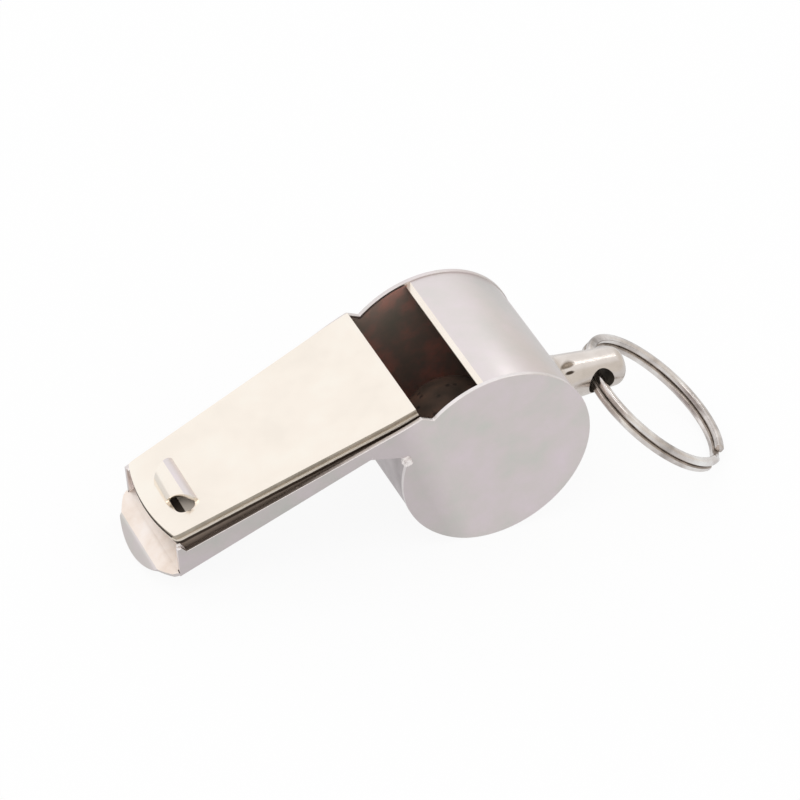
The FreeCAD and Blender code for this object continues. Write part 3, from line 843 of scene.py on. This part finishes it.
# the plate's outer edges; the bridge's rear slope in the greyer rolled finish, as painted shade; then the
# underside and the edges of the slot, where the cut-edge tone is painted shade
plate = top_plate()
dress(plate, bright_nickel, [
    (cut_edge_and_shade, lambda co, n: abs(n.z) < 0.5 and co.z < TOP_HEIGHT - 0.05 and (co.x < -33.5 or abs(co.y) > 5.5)),
    (rolled_nickel, lambda co, n: co.z > TOP_HEIGHT + 0.05 and n.x > 0.35 and co.x > -31.3),
    (cut_edge_and_shade, lambda co, n: n.z < -0.3 or co.z < TOP_HEIGHT - 0.05 and abs(n.z) < 0.5 and co.x > -33.0
     and abs(co.y) < 4.6)])
set_down(plate)
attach(plate, "whistle")
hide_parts("top_plate")

post = ring_post()
hole = polar(POST_HOLE_X, -POST_TILT)
# the hole's wall takes the dark brass, painted shade down in the hole
dress(post, post_nickel, [
    (hole_painted_shade, lambda co, n: (co.x - hole.x) * n.x + (co.z - hole.z) * n.z < -0.2
     and math.hypot(co.x - hole.x, co.z - hole.z) < POST_HOLE_RADIUS + 0.06)])
set_down(post)
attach(post, "whistle")
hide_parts("ring_post")

ring = split_ring()
# faces towards the other turn take the groove's painted shade
# the wire's near-white and dark clouds are painted highlights and shade
dress(ring, ring_nickel_painted_glints, [
    (ring_groove_shade, lambda co, n: co.z * n.z < 0 and abs(n.z) > 0.3 and abs(co.z) < 0.36)])
set_down(ring, HUNG_RING)
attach(ring, "ring")
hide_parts("split_ring")

drop = solder_drop()
dress(drop, solder_metal)
set_down(drop)
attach(drop, "whistle")

# the cork's tone is darkened as painted shade
# the roof and the solder carry painted shade in the gap beside the plate
for key, finish in (("windway_roof", roof_metal()), ("solder", solder_metal), ("cork_pea", cork_painted_shade)):
    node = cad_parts[key]
    node.data.materials.clear()
    node.data.materials.append(finish)


# Studio

def directly_seen(tree, path):
    """1 for a ray from the camera, off metal or through glass, which sees the plain white; else 0."""
    seen = add(tree, "ShaderNodeMath",
               links={0: path.outputs["Is Camera Ray"], 1: path.outputs["Is Glossy Ray"]},
               operation="MAXIMUM")
    return add(tree, "ShaderNodeMath",
               links={0: seen.outputs["Value"], 1: path.outputs["Is Transmission Ray"]},
               operation="MAXIMUM").outputs["Value"]


def floor_paper():
    """Smooth white card: white to the eye, a shade greyer in the metal, and it keeps the soft shadow."""
    made, tree = material("white_card_floor")
    path = add(tree, "ShaderNodeLightPath")
    part = add(tree, "ShaderNodeMath", {1: 0.9}, {0: directly_seen(tree, path)}, operation="MULTIPLY")
    diffuse = add(tree, "ShaderNodeBsdfDiffuse", {"Color": srgb("#FCFCFC")})
    shade = add(tree, "ShaderNodeMapRange", {"To Min": 1.0, "To Max": 0.76},
                {"Value": path.outputs["Is Glossy Ray"]})
    white = add(tree, "ShaderNodeEmission", {"Color": srgb("#FFFFFF")}, {"Strength": shade.outputs["Result"]})
    mixed = add(tree, "ShaderNodeMixShader", links={0: part.outputs["Value"], 1: diffuse.outputs["BSDF"],
                                                    2: white.outputs["Emission"]})
    add(tree, "ShaderNodeOutputMaterial", links={"Surface": mixed.outputs["Shader"]})
    return made


fresh()
bpy.ops.mesh.primitive_plane_add(size=6.0)
card = bpy.context.object
card.name = "white_card"
card.data.materials.append(floor_paper())

world = bpy.data.worlds.new("soft_studio")
bpy.context.scene.world = world
world.use_nodes = True
sky = world.node_tree
sky.nodes.clear()
path = add(sky, "ShaderNodeLightPath")
level = add(sky, "ShaderNodeMapRange", {"To Min": 0.92, "To Max": 1.0}, {"Value": directly_seen(sky, path)})
# the grey sides of the room, in front of the object and to its right, which only the metal sees
facing = add(sky, "ShaderNodeSeparateXYZ", links={"Vector": add(sky, "ShaderNodeTexCoord").outputs["Generated"]})
front_wall = add(sky, "ShaderNodeMapRange", {"From Min": -0.2, "From Max": -0.45, "To Min": 0.0, "To Max": 1.0},
                 {"Value": facing.outputs["Y"]}, interpolation_type="SMOOTHSTEP")
right_wall = add(sky, "ShaderNodeMapRange", {"From Min": 0.42, "From Max": 0.85},
                 {"Value": facing.outputs["X"]}, interpolation_type="SMOOTHSTEP")
walls = add(sky, "ShaderNodeMath", links={0: front_wall.outputs["Result"], 1: right_wall.outputs["Result"]},
            operation="MAXIMUM")
mirrored = add(sky, "ShaderNodeMath", links={0: walls.outputs["Value"], 1: path.outputs["Is Glossy Ray"]},
               operation="MULTIPLY")
room = add(sky, "ShaderNodeMix", {"A": srgb("#FFFFFF"), "B": srgb("#E4E0DA")},
           {"Factor": mirrored.outputs["Value"]}, data_type="RGBA")
glow = add(sky, "ShaderNodeBackground", links={"Color": room.outputs["Result"],
                                               "Strength": level.outputs["Result"]})
add(sky, "ShaderNodeOutputWorld", links={"Surface": glow.outputs["Background"]})


def lamp(name, place, aim, size, power, narrow=None):
    """A round lamp, or a strip where a narrow side is given, aimed at a point. Sizes are in metres."""
    fresh()
    bpy.ops.object.light_add(type="AREA", location=place)
    light = bpy.context.object
    light.name = name
    light.data.shape = "RECTANGLE" if narrow else "DISK"
    light.data.size = size
    if narrow:
        light.data.size_y = narrow
    light.data.energy = power
    light.rotation_euler = (Vector(aim) - Vector(place)).to_track_quat("-Z", "Y").to_euler()


lamp("softbox_overhead_left", place=(-0.35, -0.2, 0.6), aim=(0, 0, 0.01), size=0.35, power=0.3)
lamp("strip_light_overhead_back", place=(0.28, 0.13, 0.52), aim=(0.017, 0, 0.011), size=0.18, power=0.09,
     narrow=0.03)

# Camera, where the photograph was taken from: half a metre away, with a slight roll
azimuth, elevation, roll = math.radians(-29.5423), math.radians(38.9258), math.radians(6.7314)
aim = Vector((-0.0028106, 0.0039756, 0.0105667))
distance = 0.5
back = Vector((math.sin(azimuth) * math.cos(elevation), -math.cos(azimuth) * math.cos(elevation),
               math.sin(elevation)))
right = (-back).cross(Vector((0, 0, 1))).normalized()
up = right.cross(-back)
side_axis = math.cos(roll) * right + math.sin(roll) * up
up_axis = math.cos(roll) * up - math.sin(roll) * right
fresh()
bpy.ops.object.camera_add(location=aim + back * distance)
camera = bpy.context.object
camera.name = "photograph_camera"
camera.matrix_world = Matrix((side_axis, up_axis, back)).transposed().to_4x4()
camera.location = aim + back * distance
camera.data.sensor_fit = "HORIZONTAL"
camera.data.sensor_width = 36.0
camera.data.lens = 208.61
camera.data.clip_start = 0.01
bpy.context.scene.camera = camera
bpy.context.scene.view_settings.view_transform = "Standard"
